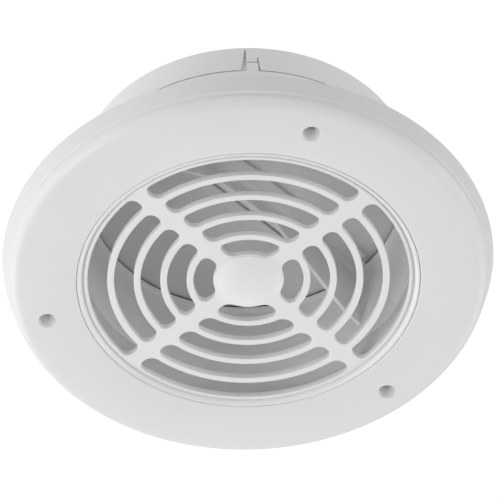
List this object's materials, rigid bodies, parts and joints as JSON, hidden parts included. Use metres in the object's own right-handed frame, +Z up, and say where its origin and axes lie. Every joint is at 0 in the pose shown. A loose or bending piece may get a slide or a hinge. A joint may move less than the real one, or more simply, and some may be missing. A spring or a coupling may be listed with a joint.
{
  "type": "bathroom extractor ceiling unit",
  "caption": "Round white ceiling extract unit: crowned face flange, recessed ring grille with a domed hub, round duct collar and a sprung two-leaf backdraft shutter inside it.",
  "frame": {"origin": "centre of the ceiling plane, level with the back edge of the face flange", "axes": "+Z up into the duct, -Y towards the viewer; the shutter's hinge line runs diagonally, from -X -Y to +X +Y"},
  "size_m": [0.211, 0.211, 0.0723],
  "materials": {
    "face_white": "fine satin moulded ABS, white",
    "collar_white": "satin moulded ABS, white",
    "leaf_white": "thin moulded polypropylene, off-white",
    "bush_plastic": "natural acetal",
    "foam": "closed-cell foam, pale grey",
    "bright_steel": "drawn stainless steel",
    "zinc_steel": "bright zinc plated"
  },
  "bodies": {
    "housing": {"face_flange": "face_white", "grille": "face_white", "spigot": "collar_white", "duct_sleeve": "collar_white", "ceiling_seal": "foam", "spigot_screw_1": "zinc_steel", "spigot_screw_2": "zinc_steel", "spigot_screw_3": "zinc_steel", "spigot_screw_4": "zinc_steel", "hinge_rod": "bright_steel", "far_rod_bush": "bush_plastic", "near_rod_bush": "bush_plastic", "far_rod_clip": "bright_steel", "near_rod_clip": "bright_steel", "far_leaf_spring": "bright_steel", "near_leaf_spring": "bright_steel"},
    "left_shutter": {"left_leaf": "leaf_white", "left_leaf_seal": "foam"},
    "right_shutter": {"right_leaf": "leaf_white", "right_leaf_seal": "foam"}
  },
  "joints": [
    {"name": "left_leaf_hinge", "type": "hinge", "parent": "housing", "child": "left_shutter", "pos_m": [0, 0, 0.0493], "axis": [0.7193, 0.6947, 0], "range_deg": [0, 80], "stiffness_Nm_per_rad": 0.002, "springref_deg": -17.19, "deforming": ["far_leaf_spring", "near_leaf_spring"]},
    {"name": "right_leaf_hinge", "type": "hinge", "parent": "housing", "child": "right_shutter", "pos_m": [0, 0, 0.0493], "axis": [-0.7193, -0.6947, 0], "range_deg": [0, 80], "stiffness_Nm_per_rad": 0.002, "springref_deg": -17.19, "deforming": ["far_leaf_spring", "near_leaf_spring"]}
  ]
}
